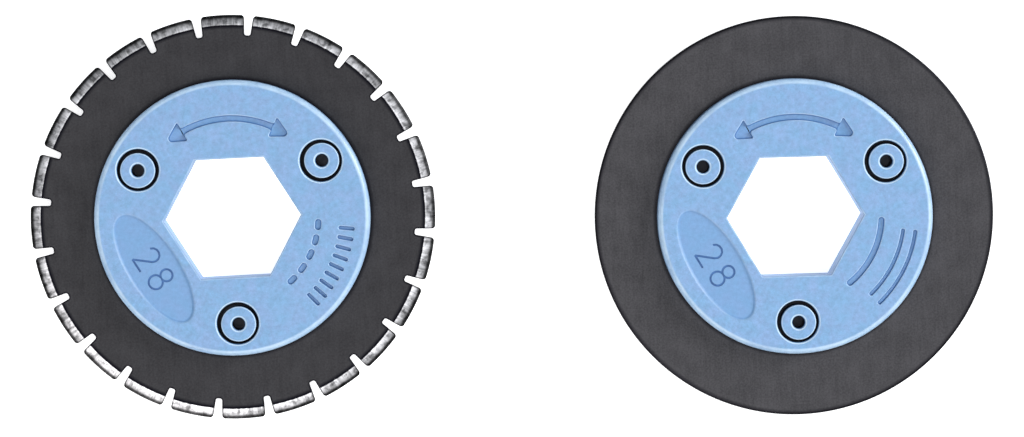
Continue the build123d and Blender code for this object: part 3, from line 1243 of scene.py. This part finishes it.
def ground_and_coated(name, place, turn):
    """The perforating disc: coated, with a ground edge."""
    material, shader = new_finish(name)
    vector = wheel_coordinates(material, place, turn)
    coat_colour, coat_roughness, relief = coat_patterns(material, vector, COAT_DARK, COAT_LIGHT)
    flat, radius = distance_from_bore(material, vector)
    slot = distance_from_slot(material, flat, radius)
    steel, steel_roughness, strokes = ground_patterns(material, flat, radius)
    # The coat is darker in a narrow ring beside the ground band. Round each slot and beside the hub the dark
    # lines are painted shade.
    dark_ring_by_band = ramp(material, radius, BAND_RADIUS - 0.32, BAND_RADIUS - 0.10)
    painted_slot_shade = ramp(material, slot, 0.05, 0.17, 0.95, 0.0)
    dark_lines_and_shade = highest(material, dark_ring_by_band, painted_slot_shade, painted_shade_beside_hub(material, radius))
    coat_colour = mixed(material, dark_lines_and_shade, coat_colour, DARK_LINE_AND_SHADE)
    # Painted shade: the ground steel darkens along the slot edges.
    steel = multiply(material, steel, ramp(material, slot, 0.03, 0.13, 0.12, 1.0))
    steel_colour = tinted(material, steel, green=0.99, blue=1.02)
    wander = ramp(material, strokes, 0.3, 0.7, -GROUND_LINE_WANDER, GROUND_LINE_WANDER)
    line = plus(material, radius, wander)
    ground = ramp(material, line, BAND_RADIUS - GROUND_LINE_WANDER, BAND_RADIUS + GROUND_LINE_WANDER)
    colour = mixed(material, ground, coat_colour, steel_colour)
    change = minus(material, steel_roughness, coat_roughness)
    roughness = plus(material, coat_roughness, multiply(material, ground, change))
    relief = bump(material, multiply(material, strokes, ground), 0.006, relief)
    metallic = ramp(material, highest(material, ground, dark_lines_and_shade), 0.0, 1.0, COAT_METALLIC, 1.0)
    connect(material, shader, colour=colour, roughness=roughness, metallic=metallic, normal=relief)
    shader.inputs["Specular IOR Level"].default_value = COAT_SPECULAR
    return material


# %% [markdown]
# ## Put the wheels together
#
# Each bench piece now goes to its wheel's place, takes its finish, and is tied to the frame's
# body that it moves with. The wheels don't lie exactly square: each is turned by a degree or more.
# Rounded pieces are shaded smooth up to a wide angle. The ground disc is only smoothed up to a narrow
# one, so that its facets stay crisp.

# %% Place the pieces
ROUNDED_SMOOTH_ANGLE = 32
FACETED_SMOOTH_ANGLE = 5
WHEELS = {
    "perforating": (PERFORATING_PLACE, PERFORATING_TURN, perforating_front, perforating_back),
    "creasing": (CREASING_PLACE, CREASING_TURN, creasing_front, creasing_back),
}
for wheel, (place, turn, front, back) in WHEELS.items():
    front_blue = blue_plastic(wheel + "_hub_front_blue", place, turn, HUB_TOP)
    back_blue = blue_plastic(wheel + "_hub_back_blue", place, turn, PEG_TOP)
    for piece, node, blue in ((front, "_hub_front", front_blue), (back, "_hub_back", back_blue)):
        put_in_place(
            piece, place, turn, wheel + "_wheel", wheel + node, blue, ROUNDED_SMOOTH_ANGLE
        )

ground_steel = ground_and_coated("ground_and_coated_steel", PERFORATING_PLACE, PERFORATING_TURN)
put_in_place(
    perforating_disc, PERFORATING_PLACE, PERFORATING_TURN, "perforating_wheel",
    "perforating_disc", ground_steel, FACETED_SMOOTH_ANGLE,
)
dark_steel = plain_coat("plain_coated_steel", CREASING_PLACE, CREASING_TURN)
put_in_place(
    creasing_disc, CREASING_PLACE, CREASING_TURN, "creasing_wheel",
    "creasing_disc", dark_steel, ROUNDED_SMOOTH_ANGLE,
)

# %% [markdown]
# ## Floor, light and camera
#
# The wheels lie on a light table, a white surface that glows a little, so that hardly any shadow
# shows on it. Four soft sources light them: a wide one overhead, a low key from the upper right that
# shapes the marks, one in front that shines on the near bevels, and an even surround. The camera
# looks almost straight down from 300 mm, and is turned a hair about its line of sight.

# %% White surface
FLOOR_SIZE = 1.6
FLOOR_GAP = 0.00002
FLOOR_GLOW = 0.75
bpy.ops.object.select_all(action="DESELECT")
bpy.ops.mesh.primitive_plane_add(size=FLOOR_SIZE, location=(0, 0, cad_box[0][2] - FLOOR_GAP))
floor = bpy.context.object
floor.name = "floor"
paper, paper_shader = new_finish("white_board")
paper_vector = add_node(paper, "TexCoord", {}).outputs["Object"]
paper_tone = ramp(paper, grain(paper, paper_vector, 1.5, detail=4.0), 0.3, 0.7, 0.86, 0.90)
connect(paper, paper_shader, colour=tinted(paper, paper_tone))
paper_shader.inputs["Roughness"].default_value = 0.9
paper_shader.inputs["Emission Color"].default_value = (1, 1, 1, 1)
paper_shader.inputs["Emission Strength"].default_value = FLOOR_GLOW
floor.data.materials.append(paper)
floor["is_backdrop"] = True

# %% Soft lights
world = bpy.data.worlds.new("surround")
bpy.context.scene.world = world
world.use_nodes = True
background = world.node_tree.nodes["Background"]
background.inputs["Color"].default_value = (0.86, 0.93, 1.0, 1)
background.inputs["Strength"].default_value = 0.25


def softbox(name, direction, height, distance, size, brightness, colour):
    """A square soft light. Direction and height are angles in degrees, seen from the wheels.

    Its brightness is per area, so that a larger light is stronger and not dimmer.
    """
    level = distance * math.cos(math.radians(height))
    place = Vector((*polar(level, direction), distance * math.sin(math.radians(height))))
    bpy.ops.object.light_add(type="AREA", location=place)
    light = bpy.context.object
    light.name = name
    light.data.shape = "SQUARE"
    light.data.size = size
    light.data.energy = brightness * math.pi * size * size
    light.data.color = colour
    light.rotation_euler = (-place).to_track_quat("-Z", "Y").to_euler()
    print(f"{name}: {light.data.energy:.2f} W")


softbox("overhead", -110, 80, 0.75, 0.62, 1.9, (1, 1, 1))
softbox("key", 22, 27, 0.60, 0.30, 12.5, (0.98, 0.99, 1.0))
softbox("front_window", -120, 43, 0.60, 0.40, 3.6, (1.0, 0.97, 0.95))

# %% Camera
CAMERA_HEIGHT = 0.300
CAMERA_FOOT = (-0.005, 0.014)
VIEW_WIDTH = 0.0717
AIM = Vector((-0.00006, -0.00014, DISC_TOP * MM))
CAMERA_ROLL = -0.12
bpy.ops.object.camera_add(location=(*CAMERA_FOOT, CAMERA_HEIGHT))
camera = bpy.context.object
view = AIM - camera.location
upwards = Vector((*polar(1, 90 + CAMERA_ROLL), 0))
to_right = view.cross(upwards).normalized()
to_top = to_right.cross(view).normalized()
camera.rotation_euler = Matrix((to_right, to_top, -view.normalized())).transposed().to_euler()
camera.data.sensor_width = 36
camera.data.lens = camera.data.sensor_width * view.length / VIEW_WIDTH
camera.data.clip_start = 0.01
bpy.context.scene.camera = camera
bpy.context.scene.view_settings.view_transform = "Standard"
print(f"lens {camera.data.lens:.1f} mm")

# %% [markdown]
# ## The size
#
# The visible wheels are built to the frame's sizes. Both boxes are printed, in millimetres.

# %% Print both boxes
visual_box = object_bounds()
for name, box in (("frame", cad_box), ("visual", visual_box)):
    print(name, [[round(value / MM, 3) for value in corner] for corner in box])
